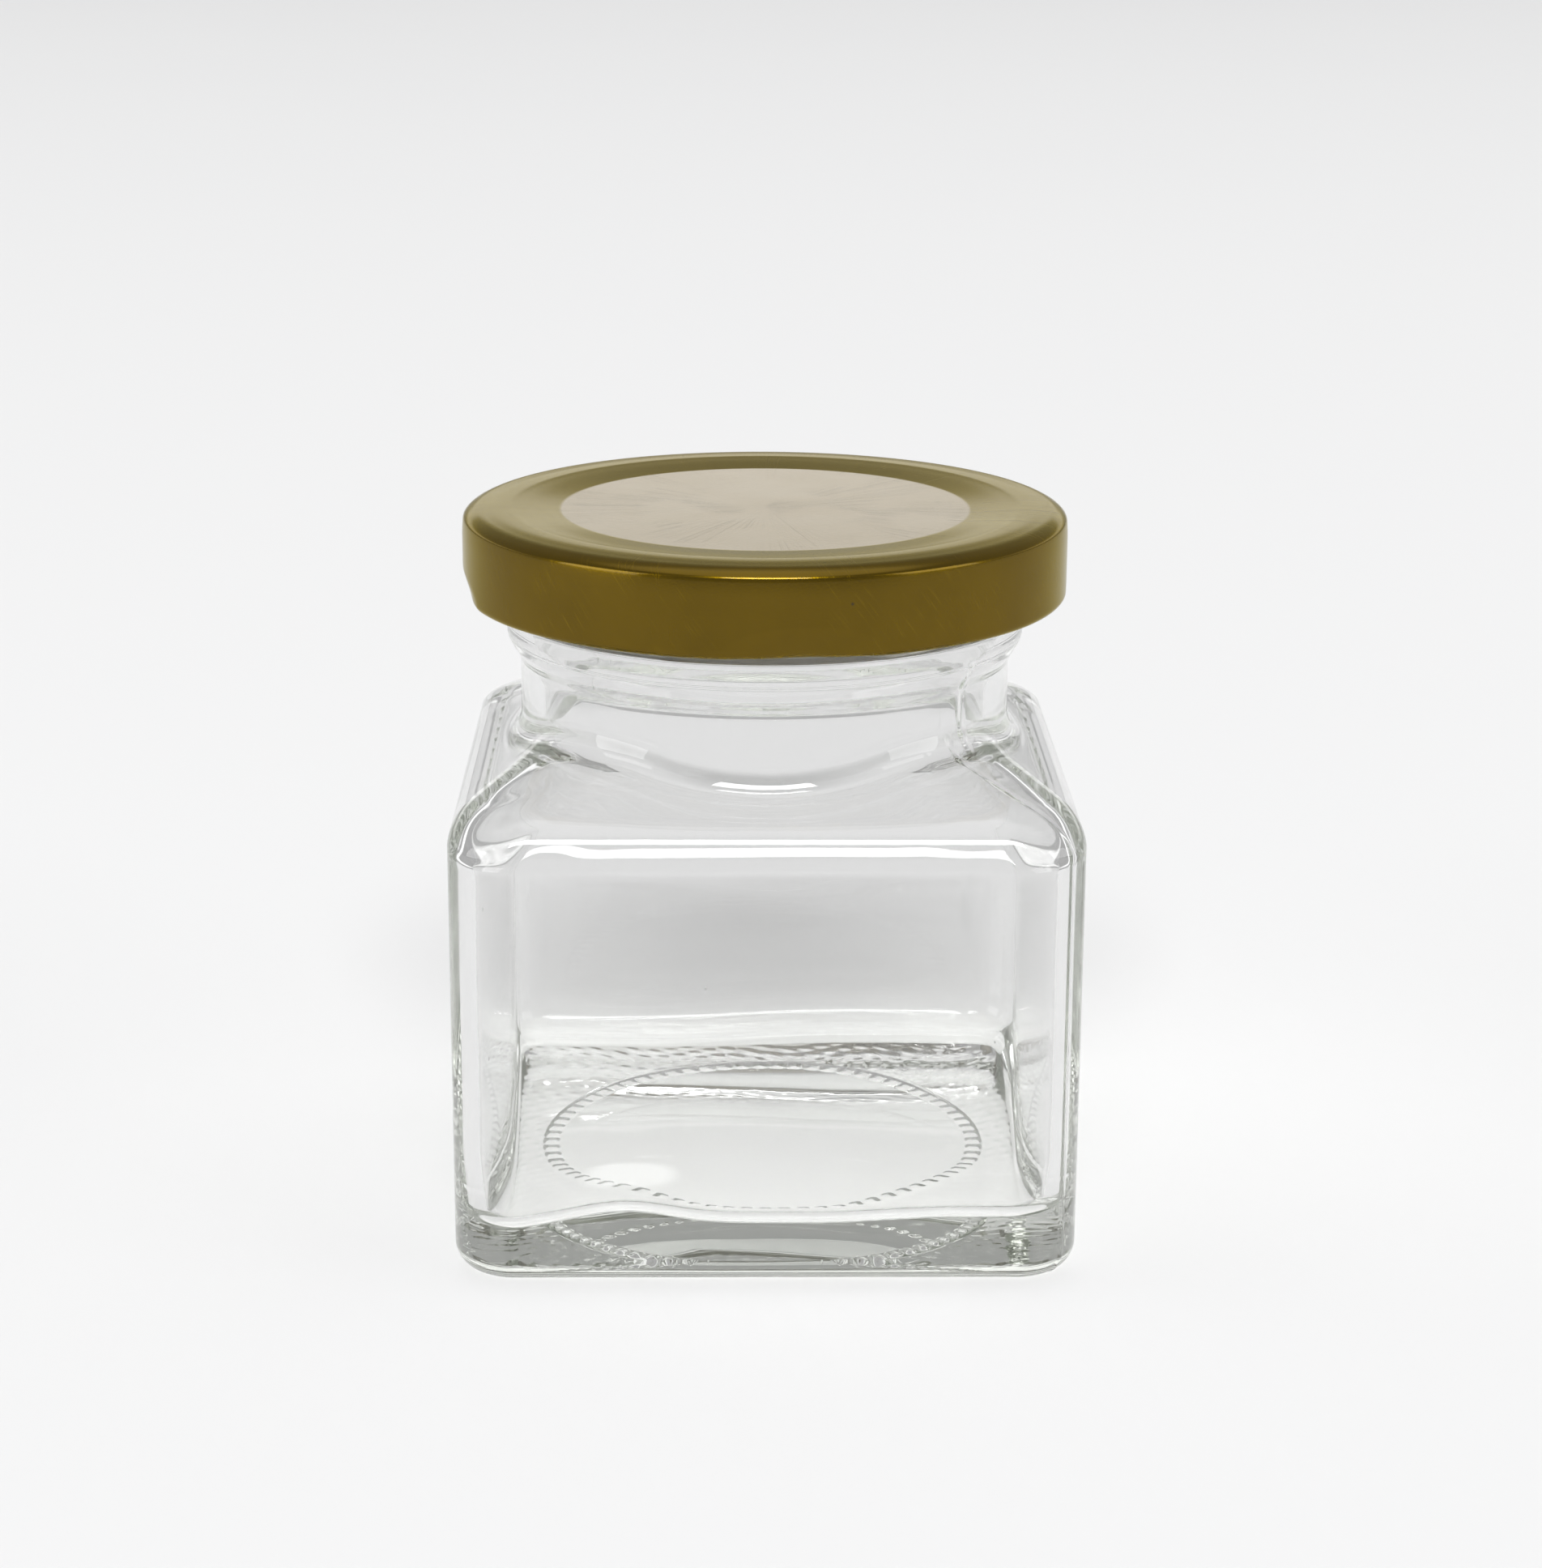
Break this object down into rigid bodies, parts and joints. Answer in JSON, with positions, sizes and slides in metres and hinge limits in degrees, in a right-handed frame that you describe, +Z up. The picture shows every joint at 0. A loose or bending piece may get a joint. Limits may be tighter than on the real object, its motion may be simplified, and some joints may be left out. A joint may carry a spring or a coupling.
{
  "type": "glass jar with twist-off lid",
  "caption": "Small square clear-glass preserving jar with a round threaded neck, closed by a gold lacquered pressed-metal twist-off lid with a soft sealing ring.",
  "frame": {"origin": "centre of the base, on the plane that the jar stands on", "axes": "+Z up through the mouth; X and Y square to the flat sides, with -Y the front; the lid is closed at rest"},
  "size_m": [0.056, 0.056, 0.0655],
  "materials": {
    "clear_glass": "clear soda-lime glass, very slightly grey-green where it is thick, fire-polished",
    "gold_lacquered_tinplate": "satin gold lacquer over tinplate, fine rubbing marks, pale lacquer inside",
    "cream_plastisol": "soft matt cream plastisol"
  },
  "bodies": {
    "jar": {"glass_jar": "clear_glass"},
    "gasket": {"sealing_gasket": "cream_plastisol"},
    "lid": {"lid_shell": "gold_lacquered_tinplate"}
  },
  "joints": [
    {"name": "lid_rise", "type": "slide", "parent": "jar", "child": "gasket", "axis": [0, 0, 1], "range_m": [0, 0.01101]},
    {"name": "lid_twist", "type": "hinge", "parent": "gasket", "child": "lid", "pos_m": [0, 0, 0.0615], "axis": [0, 0, 1], "range_deg": [0, 360]}
  ],
  "couplings": [
    {"joint": "lid_rise", "follows": "lid_twist", "m_per_rad": 0.0017507}
  ]
}
